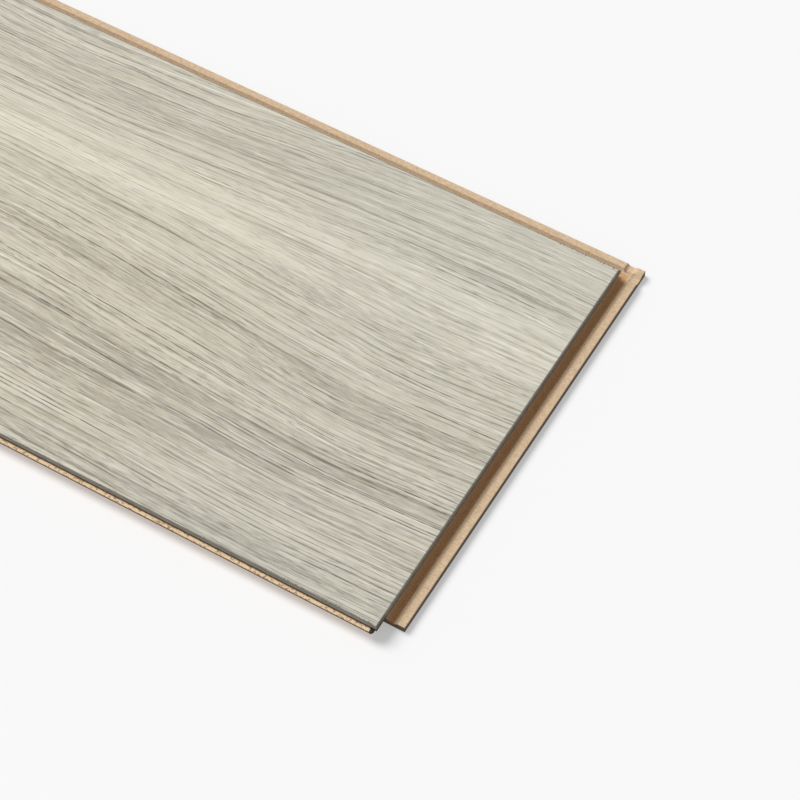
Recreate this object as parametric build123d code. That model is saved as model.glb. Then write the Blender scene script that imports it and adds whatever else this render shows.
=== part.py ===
from build123d import *
import os

# Laminate floor plank: a fibreboard core under a thin printed wear layer, with a click joint
# milled along all four edges and a bevel round the face. The front long edge and the left end
# carry the tongue, the rear long edge and the right end the groove and its locking lip.
# X runs along the plank, Y across it and Z up. The origin is the middle of the laid face, on the underside.

# Laid face, from joint to joint, and the board that the plank is milled from
face_length = 1380.0
face_width = 193.0
thickness = 8.0
decor_thickness = 0.3

# Bevel round the face
bevel_run = 0.9
bevel_drop = 0.9

# Tongue, which starts below the upright face that butts against the next plank
joint_face_height = 1.3
tongue_reach = 1.5
tongue_thickness = 1.4
nose_radius = 0.5

# Locking lip, from the joint outwards: a channel, then a slope up to a flat-topped ridge
lip_thickness = 2.1
channel_start = 0.5
channel_width = 2.2
channel_radius = 1.5
ridge_rise = 1.1
ridge_slope_run = 1.7
ridge_width = 3.1
ridge_radius = 0.6
lip_corner_radius = 0.3

# Room that the joint leaves: round the tongue and heel, past the tongue's nose and past the lip's end
fit_play = 0.1
nose_gap = 0.25
lip_gap = 0.3

# Heights above the underside
bevel_foot = thickness - bevel_drop
tongue_top = bevel_foot - joint_face_height
tongue_bottom = tongue_top - tongue_thickness
ridge_top = lip_thickness + ridge_rise

# Distances out from the joint
channel_end = channel_start + channel_width
ridge_start = channel_end + ridge_slope_run
lip_reach = ridge_start + ridge_width

# Distances in from the joint
groove_depth = tongue_reach + nose_gap
recess_depth = lip_reach + lip_gap


def groove_edge():
    # Each corner as its distance out from the joint, its height and its rounding, from the face downwards
    return [
        (-bevel_run, thickness, 0),
        (0, bevel_foot, 0),
        (0, tongue_top + fit_play, 0),
        (-groove_depth, tongue_top + fit_play, nose_radius),
        (-groove_depth, tongue_bottom - fit_play, nose_radius),
        (channel_start, lip_thickness, channel_radius),
        (channel_end, lip_thickness, channel_radius),
        (ridge_start, ridge_top, ridge_radius),
        (lip_reach, ridge_top, lip_corner_radius),
        (lip_reach, 0, 0),
    ]


def tongue_edge():
    # The same for the other half of the joint: below the tongue a heel fills the next plank's channel,
    # and the recess behind it clears that plank's ridge and lip
    heel_bottom = lip_thickness + fit_play
    recess_top = ridge_top + fit_play
    return [
        (-bevel_run, thickness, 0),
        (0, bevel_foot, 0),
        (0, tongue_top, 0),
        (tongue_reach, tongue_top, nose_radius),
        (tongue_reach, tongue_bottom, nose_radius),
        (-channel_start, heel_bottom, channel_radius),
        (fit_play - channel_end, heel_bottom, channel_radius),
        (fit_play - ridge_start, recess_top, ridge_radius),
        (-recess_depth, recess_top, lip_corner_radius),
        (-recess_depth, 0, 0),
    ]


def joint_section(span):
    # Section across the plank between two opposite edges, tongue on the left and groove on the right
    groove = [(span / 2 + out, height, radius) for out, height, radius in groove_edge()]
    tongue = [(-span / 2 - out, height, radius) for out, height, radius in tongue_edge()]
    corners = groove + tongue[::-1]
    outline = FilletPolyline(
        *[(across, height) for across, height, _ in corners],
        radius=[radius for _, _, radius in corners],
        close=True,
    )
    return make_face(outline)


def corner_reliefs():
    # Where a tongue runs out over a lip, the heel below it is cut back to the bottom of the lip's groove
    across_lip = groove_depth + lip_reach
    across_tongue = tongue_reach + recess_depth
    height = tongue_bottom - fit_play
    from_low_corner = (Align.MIN, Align.MIN, Align.MIN)
    front_right = Pos(face_length / 2 - groove_depth, -face_width / 2 - tongue_reach, 0) * Box(
        across_lip, across_tongue, height, align=from_low_corner
    )
    rear_left = Pos(-face_length / 2 - tongue_reach, face_width / 2 - groove_depth, 0) * Box(
        across_tongue, across_lip, height, align=from_low_corner
    )
    return [front_right, rear_left]


def milled_plank():
    # Both pairs of edges are milled right through, so each corner keeps only what both sections leave
    long_edges = extrude(
        Plane.YZ * joint_section(face_width), amount=face_length / 2 + lip_reach, both=True
    )
    ends = extrude(
        Plane.XZ * joint_section(face_length), amount=face_width / 2 + lip_reach, both=True
    )
    return (long_edges & ends) - corner_reliefs()


plank = milled_plank()
decor_underside = Plane.XY.offset(thickness - decor_thickness)
hdf_core = split(plank, bisect_by=decor_underside, keep=Keep.BOTTOM)
decor_layer = split(plank, bisect_by=decor_underside, keep=Keep.TOP)

os.makedirs("parts", exist_ok=True)
export_step(hdf_core, "parts/hdf_core.step")
export_step(decor_layer, "parts/decor_layer.step")
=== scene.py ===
import math

import bpy
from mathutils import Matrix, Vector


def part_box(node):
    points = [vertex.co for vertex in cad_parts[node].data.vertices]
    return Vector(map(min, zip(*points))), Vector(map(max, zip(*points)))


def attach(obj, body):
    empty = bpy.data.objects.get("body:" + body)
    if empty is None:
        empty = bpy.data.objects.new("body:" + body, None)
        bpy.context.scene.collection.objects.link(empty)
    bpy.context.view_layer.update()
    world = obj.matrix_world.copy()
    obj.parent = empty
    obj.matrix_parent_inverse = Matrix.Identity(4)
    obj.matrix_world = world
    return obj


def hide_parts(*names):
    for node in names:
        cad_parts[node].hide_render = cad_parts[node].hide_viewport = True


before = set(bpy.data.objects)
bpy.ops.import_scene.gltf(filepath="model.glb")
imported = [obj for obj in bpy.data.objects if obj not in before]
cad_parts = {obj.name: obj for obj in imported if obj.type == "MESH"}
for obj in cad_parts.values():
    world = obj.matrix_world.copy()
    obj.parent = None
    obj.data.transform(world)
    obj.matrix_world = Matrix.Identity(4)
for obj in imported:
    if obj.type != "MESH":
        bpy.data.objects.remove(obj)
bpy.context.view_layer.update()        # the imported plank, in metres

faceLow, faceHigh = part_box("decor_layer")
print("plank loaded:", sorted(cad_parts))

mm = 0.001
floatKind = "NodeSocketFloat"
vectorKind = "NodeSocketVector"

# Laid face and joint, as the board is milled
joint = {
    "halfLength": 690.0,
    "halfWidth": 96.5,
    "thickness": 8.0,
    "bevelRun": 0.9,
    "bevelDrop": 0.9,
}


def feed(tree, socket, value):
    # A value is another node's output or a plain number, vector or colour
    if isinstance(value, bpy.types.NodeSocket):
        tree.links.new(value, socket)
    else:
        socket.default_value = value


def calc(tree, how, *values):
    node = tree.nodes.new("ShaderNodeMath")
    node.operation = how
    for socket, value in zip(node.inputs, values):
        feed(tree, socket, value)
    return node.outputs[0]


def plus(tree, first, second):
    return calc(tree, "ADD", first, second)


def minus(tree, first, second):
    return calc(tree, "SUBTRACT", first, second)


def times(tree, first, second):
    return calc(tree, "MULTIPLY", first, second)


def share(tree, first, second):
    return calc(tree, "DIVIDE", first, second)


def size(tree, value):
    return calc(tree, "ABSOLUTE", value)


def power(tree, value, by):
    return calc(tree, "POWER", value, by)


def larger(tree, first, second):
    return calc(tree, "MAXIMUM", first, second)


def bell(tree, value, middle, width):
    # 1 in the middle, and next to nothing at twice the width from it
    away = share(tree, minus(tree, value, middle), width)
    return calc(tree, "EXPONENT", times(tree, power(tree, away, 2.0), -1.0))


def ramp(tree, value, start, end, low=0.0, high=1.0):
    # Soft step from low to high as the value goes from start to end
    node = tree.nodes.new("ShaderNodeMapRange")
    node.interpolation_type = "SMOOTHSTEP"
    names = ("Value", "From Min", "From Max", "To Min", "To Max")
    for name, part in zip(names, (value, start, end, low, high)):
        feed(tree, node.inputs[name], part)
    return node.outputs["Result"]


def cloud(tree, x, y, z=0.0, detail=2.0, rough=0.5):
    # Noise of about one bump a unit, so the caller divides each way by the size wanted
    place = tree.nodes.new("ShaderNodeCombineXYZ")
    for socket, value in zip(place.inputs, (x, y, z)):
        feed(tree, socket, value)
    noise = tree.nodes.new("ShaderNodeTexNoise")
    noise.noise_dimensions = "3D"
    tree.links.new(place.outputs[0], noise.inputs["Vector"])
    for name, value in (("Scale", 1.0), ("Detail", detail), ("Roughness", rough)):
        feed(tree, noise.inputs[name], value)
    return noise.outputs["Fac"]


def tint(tree, amount, under, over, how="MIX"):
    node = tree.nodes.new("ShaderNodeMix")
    node.data_type = "RGBA"
    node.blend_type = how
    feed(tree, node.inputs["Factor"], amount)
    feed(tree, node.inputs["A"], under)
    feed(tree, node.inputs["B"], over)
    return node.outputs["Result"]


def emboss(tree, shader, height, depth):
    bump = tree.nodes.new("ShaderNodeBump")
    bump.inputs["Distance"].default_value = depth
    feed(tree, bump.inputs["Height"], height)
    feed(tree, shader.inputs["Normal"], bump.outputs["Normal"])


def colour(red, green, blue):
    # Screen values from 0 to 255 as Blender's linear colour
    parts = []
    for value in (red, green, blue):
        part = value / 255
        parts.append(part / 12.92 if part <= 0.04045 else ((part + 0.055) / 1.055) ** 2.4)
    return (*parts, 1.0)


def newGroup(name, inputs, outputs):
    # Each input comes with the value it has when nothing is linked, and each output is a plain number
    tree = bpy.data.node_groups.new(name, "ShaderNodeTree")
    for label, value in inputs.items():
        kind = vectorKind if isinstance(value, tuple) else floatKind
        socket = tree.interface.new_socket(label, in_out="INPUT", socket_type=kind)
        socket.default_value = value
    for label in outputs:
        tree.interface.new_socket(label, in_out="OUTPUT", socket_type=floatKind)
    return tree, tree.nodes.new("NodeGroupInput").outputs, tree.nodes.new("NodeGroupOutput").inputs


def useGroup(tree, group, **values):
    node = tree.nodes.new("ShaderNodeGroup")
    node.node_tree = group
    for name, value in values.items():
        feed(tree, node.inputs[name], value)
    return node.outputs


def newMaterial(name):
    material = bpy.data.materials.new(name)
    material.use_nodes = True
    tree = material.node_tree
    shader = tree.nodes["Principled BSDF"]
    place = tree.nodes.new("ShaderNodeTexCoord").outputs["Object"]
    return material, tree, shader, place


# Place on the plank in millimetres, and how far in from the joint line
def makePlaceGroup():
    outputs = ["Along", "Across", "Height", "Inward"]
    tree, given, made = newGroup("plankPlace", {"Place": (0.0, 0.0, 0.0)}, outputs)
    scale = tree.nodes.new("ShaderNodeVectorMath")
    scale.operation = "SCALE"
    scale.inputs["Scale"].default_value = 1 / mm
    tree.links.new(given["Place"], scale.inputs[0])
    parts = tree.nodes.new("ShaderNodeSeparateXYZ")
    tree.links.new(scale.outputs[0], parts.inputs[0])
    x, y, z = parts.outputs
    fromEnd = minus(tree, joint["halfLength"], size(tree, x))
    fromSide = minus(tree, joint["halfWidth"], size(tree, y))
    inward = calc(tree, "MINIMUM", fromEnd, fromSide)
    for name, value in zip(outputs, (x, y, z, inward)):
        tree.links.new(value, made[name])
    return tree


# Streaks that lie along the grain, of a given length and width in millimetres
streakRough = 0.6


def makeStreakGroup():
    inputs = {
        "Along": 0.0, "Across": 0.0, "Length": 100.0, "Width": 5.0,
        "Seed": 0.0, "Detail": 2.0, "From": 0.3, "To": 0.7,
    }
    tree, given, made = newGroup("grainStreaks", inputs, ["Streaks"])
    x = share(tree, given["Along"], given["Length"])
    y = share(tree, given["Across"], given["Width"])
    raw = cloud(tree, x, y, given["Seed"], detail=given["Detail"], rough=streakRough)
    tree.links.new(ramp(tree, raw, given["From"], given["To"]), made["Streaks"])
    return tree


# Long thin grain lines, one to a lane: the wood darkens slowly up to each line and is pale just past it.
# Lengths are in millimetres, places are shares of the lane's width and strengths are shares of the full one.
# Each noise has its step from lane to lane, its seed and its detail
grainLine = {
    "laneShift": 7.3,
    "diceShift": 61.7,
    "bendLength": 30.0,
    "bendNoise": (3.71, 0.0, 2.0),
    "bend": 0.25,
    "stray": 0.65,
    "margin": 0.05,
    "darkCurve": 2.5,
    "paleCurve": 4.0,
    "paleStrength": 0.7,
    "fadeNoise": (5.3, 4.4, 1.5),
    "fadeRange": (0.36, 0.58),
    "faintest": 0.4,
    "dashLength": 7.0,
    "dashNoise": (2.3, 9.2, 2.0),
    "dashRange": (0.36, 0.56),
    "dashFaintest": 0.55,
    "thinnest": 0.7,
    "darkCore": 0.3,
}


def makeLineGroup():
    inputs = {"Along": 0.0, "Across": 0.0, "Spacing": 5.0, "Width": 0.5, "Reach": 40.0, "Seed": 0.0}
    tree, given, made = newGroup("grainLines", inputs, ["Line", "Shade"])
    x, seed, spacing = given["Along"], given["Seed"], given["Spacing"]
    rank = plus(tree, share(tree, given["Across"], spacing), times(tree, seed, grainLine["laneShift"]))
    lane = calc(tree, "FLOOR", rank)
    within = minus(tree, rank, lane)
    dice = tree.nodes.new("ShaderNodeTexWhiteNoise")
    dice.noise_dimensions = "1D"
    tree.links.new(plus(tree, lane, times(tree, seed, grainLine["diceShift"])), dice.inputs["W"])
    parts = tree.nodes.new("ShaderNodeSeparateColor")
    tree.links.new(dice.outputs["Color"], parts.inputs[0])
    chance, weight = parts.outputs[0], parts.outputs[1]

    def alongLane(length, laneStep, ownSeed, detail):
        place = share(tree, x, length)
        return cloud(tree, place, times(tree, lane, laneStep), plus(tree, seed, ownSeed), detail=detail)

    # Where the line lies in its lane
    bend = alongLane(grainLine["bendLength"], *grainLine["bendNoise"])
    middle = plus(tree, times(tree, bend, grainLine["bend"]), times(tree, chance, grainLine["stray"]))
    middle = plus(tree, middle, grainLine["margin"])

    # How strong it is along its way
    faintest, thinnest = grainLine["faintest"], grainLine["thinnest"]
    fade = ramp(tree, alongLane(given["Reach"], *grainLine["fadeNoise"]), *grainLine["fadeRange"])
    fade = times(tree, fade, plus(tree, times(tree, weight, 1 - faintest), faintest))
    dashes = alongLane(grainLine["dashLength"], *grainLine["dashNoise"])
    dashes = ramp(tree, dashes, *grainLine["dashRange"], grainLine["dashFaintest"], 1.0)
    dashed = times(tree, fade, dashes)

    off = times(tree, size(tree, minus(tree, within, middle)), spacing)
    thick = times(tree, given["Width"], plus(tree, times(tree, dashed, 1 - thinnest), thinnest))
    line = ramp(tree, off, thick, times(tree, thick, grainLine["darkCore"]))
    tree.links.new(times(tree, line, dashed), made["Line"])

    # Shading on its two sides
    before = calc(tree, "LESS_THAN", within, middle)
    rise = power(tree, share(tree, within, middle), grainLine["darkCurve"])
    fall = share(tree, minus(tree, 1.0, within), minus(tree, 1.0, middle))
    fall = power(tree, fall, grainLine["paleCurve"])
    darkSide = times(tree, rise, before)
    paleSide = times(tree, fall, minus(tree, 1.0, before))
    shade = minus(tree, times(tree, paleSide, grainLine["paleStrength"]), darkSide)
    tree.links.new(times(tree, shade, fade), made["Shade"])
    return tree


# Flow of the grain: it opens round pale lenses that lie along a wandering heart line, and wavers.
# Left of evenFrom the lenses come at uneven lengths and strengths.
# Wander and drift as size, length, seed; sways as size, length, width, seed
grain = {
    "heart": 39.0,
    "wander": (14.0, 300.0, 3.7),
    "lensEvery": 460.0,
    "lensStart": 425.0,
    "lensHalf": 11.0,
    "lensWidth": 40.0,
    "lensReach": 90.0,
    "evenFrom": 400.0,
    "unevenFrom": 150.0,
    "drift": (620.0, 280.0, 14.2),
    "faintLength": 330.0,
    "faintSeeds": (1.6, 9.4),
    "faintRange": (0.35, 0.65),
    "faintBy": 0.85,
    "sways": ((9.0, 220.0, 60.0, 11.3), (1.7, 70.0, 14.0, 5.9), (0.45, 16.0, 3.0, 8.1)),
}


def makeGrainGroup():
    tree, given, made = newGroup("grainFlow", {"Along": 0.0, "Across": 0.0}, ["Flow"])
    x, y = given["Along"], given["Across"]

    def swing(reach, length, wide, seed):
        noise = cloud(tree, share(tree, x, length), wide, seed)
        return times(tree, minus(tree, noise, 0.5), reach)

    reach, length, seed = grain["wander"]
    away = minus(tree, y, plus(tree, swing(reach, length, seed, seed), grain["heart"]))
    uneven = ramp(tree, x, grain["evenFrom"], grain["unevenFrom"])
    reach, length, seed = grain["drift"]
    drift = times(tree, swing(reach, length, seed, seed), uneven)
    turn = minus(tree, plus(tree, x, drift), grain["lensStart"])
    turn = times(tree, turn, 2 * math.pi / grain["lensEvery"])
    swell = times(tree, calc(tree, "COSINE", turn), -grain["lensHalf"])
    fainter = cloud(tree, share(tree, x, grain["faintLength"]), *grain["faintSeeds"])
    fainter = ramp(tree, fainter, *grain["faintRange"], 0.0, grain["faintBy"])
    swell = times(tree, swell, minus(tree, 1.0, times(tree, fainter, uneven)))
    side = calc(tree, "TANH", share(tree, away, grain["lensWidth"]))
    near = bell(tree, away, 0.0, grain["lensReach"])
    flow = minus(tree, away, times(tree, swell, times(tree, side, near)))
    for reach, length, width, seed in grain["sways"]:
        flow = plus(tree, flow, swing(reach, length, share(tree, y, width), seed))
    tree.links.new(flow, made["Flow"])
    return tree


# Paint in the bevel, which runs a little way into the print in short strokes, longer ones near the corners,
# and fades softly at the ends
paint = {
    "dark": colour(116, 111, 102),
    "light": colour(134, 129, 119),
    "strokeWidth": 0.9,
    "strokeLength": 40.0,
    "strokeSeed": 2.0,
    "strokeRange": (0.5, 0.75),
    "strokeReach": 0.4,
    "cornerReach": 60.0,
    "cornerStrokes": (0.5, 2.0),
    "softEdge": (-0.12, 0.18),
    "endFrom": (3.0, 2.0),
    "endFade": (1.25, 0.2),
    "dripSize": 0.8,
    "dripSeed": 4.0,
    "drip": 0.4,
    "softFoot": 0.06,
    "blotchSize": 6.0,
    "blotchDepth": 0.6,
    "blotchRange": (0.3, 0.7),
    "fineDetail": 3.0,
}


def makePaintGroup():
    inputs = {"Along": 0.0, "Across": 0.0, "Height": 0.0, "Inward": 0.0}
    tree, given, made = newGroup("bevelPaint", inputs, ["Paint", "Shade"])
    x, y, z, inward = given["Along"], given["Across"], given["Height"], given["Inward"]
    fromMiddle, end = size(tree, x), joint["halfLength"]

    strokes = cloud(tree, share(tree, x, paint["strokeWidth"]), share(tree, y, paint["strokeLength"]),
                    paint["strokeSeed"])
    strokes = ramp(tree, strokes, *paint["strokeRange"], 0.0, paint["strokeReach"])
    nearCorner = ramp(tree, fromMiddle, end - paint["cornerReach"], end, *paint["cornerStrokes"])
    border = plus(tree, times(tree, strokes, nearCorner), joint["bevelRun"])
    onFace = ramp(tree, minus(tree, border, inward), *paint["softEdge"])
    atEnd = ramp(tree, fromMiddle, *(end - reach for reach in paint["endFrom"]))
    fading = minus(tree, ramp(tree, inward, *paint["endFade"]), onFace)
    onFace = plus(tree, onFace, times(tree, fading, atEnd))

    drip = cloud(tree, share(tree, x, paint["dripSize"]), share(tree, y, paint["dripSize"]),
                 paint["dripSeed"], detail=paint["fineDetail"])
    drip = times(tree, minus(tree, drip, 0.5), paint["drip"])
    foot = plus(tree, drip, joint["thickness"] - joint["bevelDrop"])
    above = ramp(tree, minus(tree, z, foot), -paint["softFoot"], paint["softFoot"])
    tree.links.new(times(tree, onFace, above), made["Paint"])

    shade = cloud(tree, share(tree, x, paint["blotchSize"]), share(tree, y, paint["blotchSize"]),
                  share(tree, z, paint["blotchDepth"]), detail=paint["fineDetail"])
    tree.links.new(ramp(tree, shade, *paint["blotchRange"]), made["Shade"])
    return tree


placeGroup = makePlaceGroup()
streakGroup = makeStreakGroup()
lineGroup = makeLineGroup()
grainGroup = makeGrainGroup()
paintGroup = makePaintGroup()
print("pattern groups made")

# Printed oak. Tones as length, width, seed, detail, strength; lines as spacing, width, reach, seed, and
# strength where the wood is warm and where it is cool; pale lines with one strength; streaks as length,
# width, seed, detail and the range of noise that they show
oakPrint = {
    "dark": colour(162, 155, 138),
    "mid": colour(207, 201, 183),
    "light": colour(231, 225, 208),
    "cream": colour(244, 238, 218),
    "smoke": colour(138, 132, 122),
    "line": colour(101, 95, 83),
    "fleck": colour(124, 118, 106),
    # pale streaks of the print, partly painted highlight along the pressed grain
    "gleam": colour(241, 236, 222),
    "pink": colour(213, 199, 173),
    "green": colour(198, 199, 188),
    "tones": (
        (800.0, 34.0, 6.0, 2.0, 0.12),
        (700.0, 12.0, 2.0, 3.0, 0.42),
        (75.0, 2.4, 3.0, 2.0, 0.39),
        (8.0, 0.75, 4.0, 1.0, 0.28),
        (1.2, 0.5, 9.0, 1.0, 0.1),
    ),
    "toneRange": (0.25, 0.75),
    "darkTones": (0.18, 0.5),
    "lightTones": (0.45, 0.85),
    "lines": (
        (5.3, 0.5, 80.0, 1.0, 1.0, 0.65),
        (4.1, 0.45, 60.0, 2.0, 0.95, 0.65),
        (8.9, 0.55, 100.0, 3.0, 1.0, 0.7),
        (2.2, 0.38, 34.0, 4.0, 0.45, 0.95),
    ),
    "lineShade": 0.14,
    "paleLines": (4.7, 0.45, 40.0, 6.0, 0.95),
    "repeat": 460.0,
    "coolMiddle": 690.0,
    "rearRange": (45.0, 90.0),
    "rearLighter": 0.12,
    "rearQuiet": 0.25,
    "heartWidth": 18.0,
    "heartStreaks": (240.0, 9.0, 17.0, 3.0, 0.32, 0.6),
    "heartQuiet": 0.45,
    "smokeAt": -91.0,
    "smokeWidth": 13.0,
    "smokeMiddle": 552.0,
    "smokePuff": (-0.3, 1.0, 0.12, 1.0),
    "smokeStreaks": (34.0, 3.4, 15.0, 3.0, 0.42, 0.58),
    "smokeMottle": 0.8,
    "smokeEven": 0.1,
    "hueStreaks": (14.0, 3.0, 21.0, 2.0, 0.3, 0.7),
    "hueMottle": 0.5,
    "pinkFrom": -20.0,
    "pinkFront": 0.5,
    "greenFrom": -55.0,
    "greenFront": 0.3,
    "pinkWarm": 0.1,
    "pinkCool": -0.38,
    "hueStrength": 0.42,
    "fleckStreaks": (9.0, 0.65, 14.0, 1.0, 0.57, 0.67),
    "crowdStreaks": (200.0, 20.0, 7.0, 2.0, 0.36, 0.64),
    "fleckCrowd": 0.45,
    "fleckEven": 0.12,
    "gleamStreaks": (16.0, 0.8, 12.0, 1.0, 0.54, 0.7),
    "gleamHeart": 0.4,
    "gleamEven": 0.35,
    "satinTones": (0.2, 0.8),
    "satin": (0.52, 0.44),
    "lineRougher": 0.15,
    "paintRougher": 0.15,
    "pressed": 0.03 * mm,
}


def makeOakPrint():
    material, tree, shader, place = newMaterial("oakPrint")
    where = useGroup(tree, placeGroup, Place=place)
    x, y = where["Along"], where["Across"]
    flow = useGroup(tree, grainGroup, Along=x, Across=y)["Flow"]

    def streaks(length, width, seed, detail, start, end):
        return useGroup(tree, streakGroup, Along=x, Across=flow, Length=length, Width=width, Seed=seed,
                        Detail=detail, From=start, To=end)["Streaks"]

    def lineSet(spacing, width, reach, seed):
        return useGroup(tree, lineGroup, Along=x, Across=flow, Spacing=spacing, Width=width,
                        Reach=reach, Seed=seed)

    def comesRound(middle):
        # From 1 at the middle to -1 half a repeat away from it
        turn = times(tree, minus(tree, x, middle), 2 * math.pi / oakPrint["repeat"])
        return calc(tree, "COSINE", turn)

    # Soft tones of the wood, from broad bands to fine ones, then the lines and the shading beside them
    tone = 0.5
    for *kind, strength in oakPrint["tones"]:
        part = streaks(*kind, *oakPrint["toneRange"])
        tone = plus(tree, tone, times(tree, minus(tree, part, 0.5), strength))
    cool = ramp(tree, comesRound(oakPrint["coolMiddle"]), -1.0, 1.0)
    rear = ramp(tree, y, *oakPrint["rearRange"])
    tone = plus(tree, tone, times(tree, times(tree, rear, cool), oakPrint["rearLighter"]))
    lines = 0.0
    for *kind, warmStrength, coolStrength in oakPrint["lines"]:
        strength = ramp(tree, cool, 0.0, 1.0, warmStrength, coolStrength)
        ring = lineSet(*kind)
        lines = larger(tree, lines, times(tree, ring["Line"], strength))
        tone = plus(tree, tone, times(tree, ring["Shade"], oakPrint["lineShade"]))
    base = tint(tree, ramp(tree, tone, *oakPrint["darkTones"]), oakPrint["dark"], oakPrint["mid"])
    base = tint(tree, ramp(tree, tone, *oakPrint["lightTones"]), base, oakPrint["light"])

    # Pale heart, smoky patches and the drift of the colour from pink to green
    heart = bell(tree, flow, 0.0, oakPrint["heartWidth"])
    cream = times(tree, heart, streaks(*oakPrint["heartStreaks"]))
    base = tint(tree, cream, base, oakPrint["cream"])
    mottle = times(tree, streaks(*oakPrint["smokeStreaks"]), oakPrint["smokeMottle"])
    puff = ramp(tree, comesRound(oakPrint["smokeMiddle"]), *oakPrint["smokePuff"])
    smoke = times(tree, bell(tree, flow, oakPrint["smokeAt"], oakPrint["smokeWidth"]), puff)
    smoke = times(tree, smoke, plus(tree, mottle, oakPrint["smokeEven"]))
    base = tint(tree, smoke, base, oakPrint["smoke"])
    edgeAt = joint["halfWidth"]
    hue = times(tree, streaks(*oakPrint["hueStreaks"]), oakPrint["hueMottle"])
    hue = plus(tree, hue, ramp(tree, y, edgeAt, oakPrint["pinkFrom"], 0.0, oakPrint["pinkFront"]))
    hue = minus(tree, hue, ramp(tree, y, oakPrint["greenFrom"], -edgeAt, 0.0, oakPrint["greenFront"]))
    hue = plus(tree, hue, ramp(tree, cool, 0.0, 1.0, oakPrint["pinkWarm"], oakPrint["pinkCool"]))
    wash = tint(tree, hue, oakPrint["green"], oakPrint["pink"])
    base = tint(tree, oakPrint["hueStrength"], base, wash)

    # Short flecks, thicker in places, and pale ones between them: the pale lines and flecks are partly the
    # print's pale streaks and partly painted highlight along the pressed grain
    crowd = times(tree, streaks(*oakPrint["crowdStreaks"]), oakPrint["fleckCrowd"])
    flecks = times(tree, streaks(*oakPrint["fleckStreaks"]), plus(tree, crowd, oakPrint["fleckEven"]))
    *kind, strength = oakPrint["paleLines"]
    longGleam = times(tree, lineSet(*kind)["Line"], strength)
    shortGleam = plus(tree, times(tree, heart, oakPrint["gleamHeart"]), oakPrint["gleamEven"])
    shortGleam = times(tree, streaks(*oakPrint["gleamStreaks"]), shortGleam)
    base = tint(tree, larger(tree, longGleam, shortGleam), base, oakPrint["gleam"])

    # Lines and flecks are quieter in the heart and along the rear
    quiet = minus(tree, 1.0, times(tree, heart, oakPrint["heartQuiet"]))
    quietRear = times(tree, times(tree, rear, oakPrint["rearQuiet"]), plus(tree, cool, 1.0))
    quiet = minus(tree, quiet, quietRear)
    flecks = times(tree, flecks, quiet)
    lines = times(tree, lines, quiet)
    base = tint(tree, flecks, base, oakPrint["fleck"])
    base = tint(tree, lines, base, oakPrint["line"])

    edge = useGroup(tree, paintGroup, Along=x, Across=y, Height=where["Height"], Inward=where["Inward"])
    painted = tint(tree, edge["Shade"], paint["dark"], paint["light"])
    feed(tree, shader.inputs["Base Color"], tint(tree, edge["Paint"], base, painted))
    satin = ramp(tree, tone, *oakPrint["satinTones"], *oakPrint["satin"])
    satin = plus(tree, satin, times(tree, lines, oakPrint["lineRougher"]))
    satin = plus(tree, satin, times(tree, edge["Paint"], oakPrint["paintRougher"]))
    feed(tree, shader.inputs["Roughness"], satin)
    emboss(tree, shader, minus(tree, tone, larger(tree, lines, flecks)), oakPrint["pressed"])
    return material


# Fibreboard: its colours, its fibres and specks as length, width, depth, seed, detail, and where it is
# browned and darkened, partly by milling and partly as painted shade
fibreBoard = {
    "tan": colour(202, 172, 137),
    "pale": colour(222, 196, 163),
    "fresh": colour(244, 214, 172),
    "speck": colour(140, 102, 66),
    # scorched milled board mixed with painted shade, for the upright cuts
    "scorchedAndShade": colour(52, 40, 29),
    # painted shade, near black, for the notch at the front right corner
    "notch": colour(14, 12, 11),
    # browning of the channel, partly the board's own colour and partly painted warm shade
    "brown": colour(246, 219, 191),
    # painted shade that dims the lip's slope
    "slope": colour(228, 226, 224),
    "paper": colour(176, 156, 128),
    "paperDark": colour(156, 136, 110),
    "fibres": (1.4, 0.5, 0.5, 1.0, 3.0),
    "crossFibres": (0.5, 1.4, 0.5, 2.0, 3.0),
    "crossRange": (0.5, 0.7),
    "crossStrength": 0.4,
    "specks": (1.1, 0.9, 0.6, 3.0, 2.0),
    "speckRange": (0.5, 0.64),
    "speckStrength": (0.1, 0.75),
    "paleSpecks": (0.8, 0.8, 0.5, 5.0, 2.0),
    "paleRange": (0.58, 0.72),
    "paleStrength": 0.4,
    "paperFibres": (2.5, 1.5, 1.0, 4.0, 4.0),
    "fullRange": (0.3, 0.7),
    "tongueOut": (0.0, -0.1),
    "tongueUp": (4.3, 4.6),
    "freshStrength": 0.8,
    "slopeFoot": 3.1,
    "slopeTop": 4.5,
    "slopeSoft": 0.5,
    "channelSoft": 1.0,
    "channelUp": (3.25, 2.9),
    "uprightTilt": (0.3, 0.05),
    "scorchedAndShadeStrength": 0.88,
    "notchIn": 2.6,
    "notchBack": 7.2,
    "notchStrength": 0.95,
    "soft": 0.2,
    "downTilt": (-0.8, -0.95),
    "paperUp": (0.1, 0.05),
    "dullRange": (0.2, 0.8),
    "dull": (0.85, 0.7),
    "rough": 0.02 * mm,
}


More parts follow.
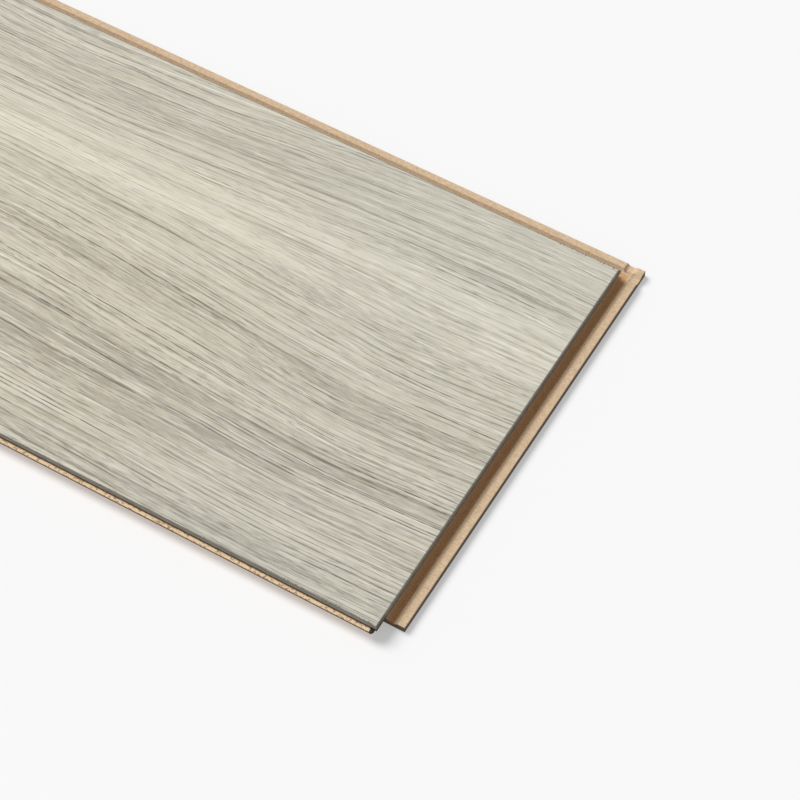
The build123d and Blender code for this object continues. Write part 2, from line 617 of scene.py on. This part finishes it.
def makeFibreBoard():
    material, tree, shader, place = newMaterial("fibreBoard")
    where = useGroup(tree, placeGroup, Place=place)
    x, y, z, inward = where["Along"], where["Across"], where["Height"], where["Inward"]
    soft = fibreBoard["soft"]

    def fleck(length, width, depth, seed, detail):
        return cloud(tree, share(tree, x, length), share(tree, y, width),
                     plus(tree, share(tree, z, depth), seed), detail=detail)

    # Pressed fibres, with a fresher cut and more specks on the tongue
    fibres = fleck(*fibreBoard["fibres"])
    base = tint(tree, ramp(tree, fibres, *fibreBoard["fullRange"]), fibreBoard["tan"], fibreBoard["pale"])
    cross = ramp(tree, fleck(*fibreBoard["crossFibres"]), *fibreBoard["crossRange"])
    base = tint(tree, times(tree, cross, fibreBoard["crossStrength"]), base, fibreBoard["pale"])
    onTongue = ramp(tree, inward, *fibreBoard["tongueOut"])
    onTongue = times(tree, onTongue, ramp(tree, z, *fibreBoard["tongueUp"]))
    base = tint(tree, times(tree, onTongue, fibreBoard["freshStrength"]), base, fibreBoard["fresh"])
    specks = ramp(tree, fleck(*fibreBoard["specks"]), *fibreBoard["speckRange"])
    specks = times(tree, specks, ramp(tree, onTongue, 0.0, 1.0, *fibreBoard["speckStrength"]))
    base = tint(tree, specks, base, fibreBoard["speck"])
    paleSpecks = ramp(tree, fleck(*fibreBoard["paleSpecks"]), *fibreBoard["paleRange"])
    base = tint(tree, times(tree, paleSpecks, fibreBoard["paleStrength"]), base, fibreBoard["fresh"])

    # Slope and channel of the lip: the slope is dimmed with painted shade, and the channel is browned,
    # partly in its own colour and partly with painted warm shade
    foot, top = -fibreBoard["slopeFoot"], -fibreBoard["slopeTop"]
    pastFoot = ramp(tree, inward, foot, foot - fibreBoard["slopeSoft"])
    onSlope = times(tree, pastFoot, ramp(tree, inward, top - soft, top + soft))
    base = tint(tree, onSlope, base, fibreBoard["slope"], how="MULTIPLY")
    # The channel's browning is partly the board's own colour and partly painted warm shade
    beforeFoot = ramp(tree, inward, foot, foot + fibreBoard["channelSoft"])
    inChannel = times(tree, beforeFoot, ramp(tree, z, *fibreBoard["channelUp"]))
    base = tint(tree, inChannel, base, fibreBoard["brown"], how="MULTIPLY")

    # Upright cuts are darkened, partly as scorched milled board and partly as painted shade, and are darkest
    # in the notch at the front right corner, where the painted shade is near black
    normal = tree.nodes.new("ShaderNodeSeparateXYZ")
    tree.links.new(tree.nodes.new("ShaderNodeNewGeometry").outputs["True Normal"], normal.inputs[0])
    upright = ramp(tree, size(tree, normal.outputs["Z"]), *fibreBoard["uprightTilt"])
    base = tint(tree, times(tree, upright, fibreBoard["scorchedAndShadeStrength"]), base, fibreBoard["scorchedAndShade"])
    # Painted shade: the notch at the front right corner is coloured near black where it lies in shadow
    notchLeft = joint["halfLength"] - fibreBoard["notchIn"]
    notchRear = fibreBoard["notchBack"] - joint["halfWidth"]
    inNotch = times(tree, ramp(tree, x, notchLeft - soft, notchLeft + soft),
                    ramp(tree, y, notchRear + soft, notchRear - soft))
    base = tint(tree, times(tree, inNotch, fibreBoard["notchStrength"]), base, fibreBoard["notch"])

    # Backing paper underneath
    below = ramp(tree, normal.outputs["Z"], *fibreBoard["downTilt"])
    under = times(tree, below, ramp(tree, z, *fibreBoard["paperUp"]))
    paperFibres = ramp(tree, fleck(*fibreBoard["paperFibres"]), *fibreBoard["fullRange"])
    paper = tint(tree, paperFibres, fibreBoard["paperDark"], fibreBoard["paper"])
    base = tint(tree, under, base, paper)

    edge = useGroup(tree, paintGroup, Along=x, Across=y, Height=z, Inward=inward)
    painted = tint(tree, edge["Shade"], paint["dark"], paint["light"])
    feed(tree, shader.inputs["Base Color"], tint(tree, edge["Paint"], base, painted))
    feed(tree, shader.inputs["Roughness"], ramp(tree, fibres, *fibreBoard["dullRange"], *fibreBoard["dull"]))
    emboss(tree, shader, fibres, fibreBoard["rough"])
    return material


oakPrintLook = makeOakPrint()
fibreBoardLook = makeFibreBoard()
print("materials made")

# Printed sheet: as the CAD layer, with its upper edge softened as the pressed overlay's is
sheet = {
    "softEdge": 0.12 * mm,
    "softSteps": 3,
    "strips": 2,
    "smoothUnder": 35.0,
}

# Flat layout for baked pictures: the face as two long strips, then the edges and the hidden back as narrow
# ones
bakeRows = {
    "face": ((0.01, 0.43), (0.45, 0.87)),
    "front": (0.885, 0.91),
    "rear": (0.92, 0.945),
    "ends": (0.955, 0.965),
    "back": (0.975, 0.99),
    "endStep": 0.5,
    "endLength": 0.48,
}


def layBakeMap(piece):
    layout = piece.data.uv_layers.active
    layout.name = "OFBake"
    extent = faceHigh - faceLow
    slant = 2 * extent.z + sheet["softEdge"]

    def between(row, part):
        return row[0] + (row[1] - row[0]) * part

    for side in piece.data.polygons:
        facing = side.normal
        half = 0 if side.center.x < (faceLow.x + faceHigh.x) / 2 else 1
        for loop in side.loop_indices:
            point = piece.data.vertices[piece.data.loops[loop].vertex_index].co
            along = (point.x - faceLow.x) / extent.x
            across = (point.y - faceLow.y) / extent.y
            fromSide = min(point.y - faceLow.y, faceHigh.y - point.y)
            fromEnd = min(point.x - faceLow.x, faceHigh.x - point.x)
            if facing.z > 0.99:
                spot = (2 * along - half, between(bakeRows["face"][half], across))
            elif facing.z < -0.9:
                spot = (along, between(bakeRows["back"], across))
            elif abs(facing.x) > abs(facing.y):
                climb = (point.z - faceLow.z + fromEnd) / slant
                run = bakeRows["endStep"] * half + bakeRows["endLength"] * across
                spot = (run, between(bakeRows["ends"], climb))
            else:
                climb = (point.z - faceLow.z + fromSide) / slant
                row = bakeRows["front"] if facing.y < 0 else bakeRows["rear"]
                spot = (along, between(row, climb))
            layout.data[loop].uv = spot


def makeSheet():
    extent = faceHigh - faceLow
    middle = (faceHigh + faceLow) / 2
    runIn = joint["bevelRun"] / joint["bevelDrop"] * extent.z
    bpy.ops.object.select_all(action="DESELECT")
    bpy.ops.mesh.primitive_cube_add(size=1, location=(0, 0, 0))
    piece = bpy.context.object
    piece.name = "printed_sheet"
    bpy.ops.object.mode_set(mode="EDIT")
    bpy.ops.mesh.select_all(action="SELECT")
    bpy.ops.transform.resize(value=extent)
    bpy.ops.transform.translate(value=middle)
    bpy.ops.object.mode_set(mode="OBJECT")
    for corner in piece.data.vertices:
        corner.select = corner.co.z > middle.z
    for edge in piece.data.edges:
        edge.select = all(piece.data.vertices[end].select for end in edge.vertices)
    for side in piece.data.polygons:
        side.select = side.normal.z > 0.9
    bpy.ops.object.mode_set(mode="EDIT")
    smaller = (1 - 2 * runIn / extent.x, 1 - 2 * runIn / extent.y, 1)
    bpy.ops.transform.resize(value=smaller, center_override=middle)
    bpy.ops.mesh.bevel(offset=sheet["softEdge"], segments=sheet["softSteps"], affect="EDGES")
    for cut in range(1, sheet["strips"]):
        bpy.ops.mesh.select_all(action="SELECT")
        place = faceLow.x + extent.x * cut / sheet["strips"]
        bpy.ops.mesh.bisect(plane_co=(place, 0, 0), plane_no=(1, 0, 0))
    bpy.ops.object.mode_set(mode="OBJECT")
    bpy.ops.object.shade_smooth_by_angle(angle=math.radians(sheet["smoothUnder"]))
    piece.data.materials.append(oakPrintLook)
    layBakeMap(piece)
    return piece


printedSheet = makeSheet()
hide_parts("decor_layer")
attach(printedSheet, "root")
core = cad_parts["hdf_core"]
core.material_slots[0].material = fibreBoardLook
print("printed sheet made:", len(printedSheet.data.polygons), "faces")

# Pale floor that can be looked up through from below, and that lets light in under what touches it
floorLook = {
    "size": 40.0,
    "pale": (0.6, 0.6, 0.6, 1.0),
    "glowColour": (1.0, 1.0, 1.0, 1.0),
    "glow": 0.35,
    "dull": 0.9,
    "drop": 0.02 * mm,
    "contact": 0.2 * mm,
}


def makeFloor():
    bpy.ops.object.select_all(action="DESELECT")
    bpy.ops.mesh.primitive_plane_add(size=floorLook["size"], location=(0, 0, -floorLook["drop"]))
    floor = bpy.context.object
    floor.name = "floor"
    material, tree, shader, place = newMaterial("paleFloor")
    shader.inputs["Base Color"].default_value = floorLook["pale"]
    shader.inputs["Emission Color"].default_value = floorLook["glowColour"]
    shader.inputs["Emission Strength"].default_value = floorLook["glow"]
    shader.inputs["Roughness"].default_value = floorLook["dull"]
    mix = tree.nodes.new("ShaderNodeMixShader")
    clear = tree.nodes.new("ShaderNodeBsdfTransparent")
    fromBelow = tree.nodes.new("ShaderNodeNewGeometry").outputs["Backfacing"]
    reach = tree.nodes.new("ShaderNodeLightPath").outputs["Ray Length"]
    touching = calc(tree, "LESS_THAN", reach, floorLook["contact"])
    tree.links.new(larger(tree, fromBelow, touching), mix.inputs[0])
    tree.links.new(shader.outputs[0], mix.inputs[1])
    tree.links.new(clear.outputs[0], mix.inputs[2])
    tree.links.new(mix.outputs[0], tree.nodes["Material Output"].inputs["Surface"])
    floor.data.materials.append(material)


makeFloor()

# One broad light from the left and a low even light from all round
light = {
    "fromLeft": 97.0,
    "height": 49.0,
    "spread": 34.0,
    "strength": 2.89,
    "fill": 0.285,
    "backdrop": 0.94,
    "white": (1.0, 1.0, 1.0, 1.0),
}


def makeLight():
    lamp = bpy.data.lights.new("studioLight", "SUN")
    lamp.energy = light["strength"]
    lamp.angle = math.radians(light["spread"])
    lampHolder = bpy.data.objects.new("studioLight", lamp)
    lampHolder.rotation_euler = (math.radians(90 - light["height"]), 0, math.radians(-light["fromLeft"]))
    bpy.context.scene.collection.objects.link(lampHolder)
    world = bpy.data.worlds.new("studio")
    bpy.context.scene.world = world
    world.use_nodes = True
    tree = world.node_tree
    glow = tree.nodes["Background"]
    seen = tree.nodes.new("ShaderNodeLightPath").outputs["Is Camera Ray"]
    feed(tree, glow.inputs["Strength"], ramp(tree, seen, 0.0, 1.0, light["fill"], light["backdrop"]))
    glow.inputs["Color"].default_value = light["white"]


makeLight()

# Camera at the photograph's angle, aimed at a point on the face near the right end
eye = {
    "azimuth": 30.474,
    "elevation": 55.918,
    "distance": 1.1712,
    "lens": 134.67,
    "sensor": 36.0,
    "nearest": 0.05,
    "farthest": 100.0,
    "inFromJoint": 44.603,
    "frontOfMiddle": 3.58,
}


def makeCamera():
    holder = bpy.data.cameras.new("photoEye")
    holder.lens = eye["lens"]
    holder.sensor_width = eye["sensor"]
    holder.clip_start = eye["nearest"]
    holder.clip_end = eye["farthest"]
    camera = bpy.data.objects.new("photoEye", holder)
    around, up = math.radians(eye["azimuth"]), math.radians(eye["elevation"])
    aim = ((joint["halfLength"] - eye["inFromJoint"]) * mm, -eye["frontOfMiddle"] * mm, faceHigh.z)
    back = (math.sin(around) * math.cos(up), -math.cos(around) * math.cos(up), math.sin(up))
    camera.location = [point + eye["distance"] * step for point, step in zip(aim, back)]
    camera.rotation_euler = (math.pi / 2 - up, 0, around)
    bpy.context.scene.collection.objects.link(camera)
    bpy.context.scene.camera = camera


makeCamera()
bpy.context.scene.view_settings.view_transform = "Standard"
print("floor, light and camera set")
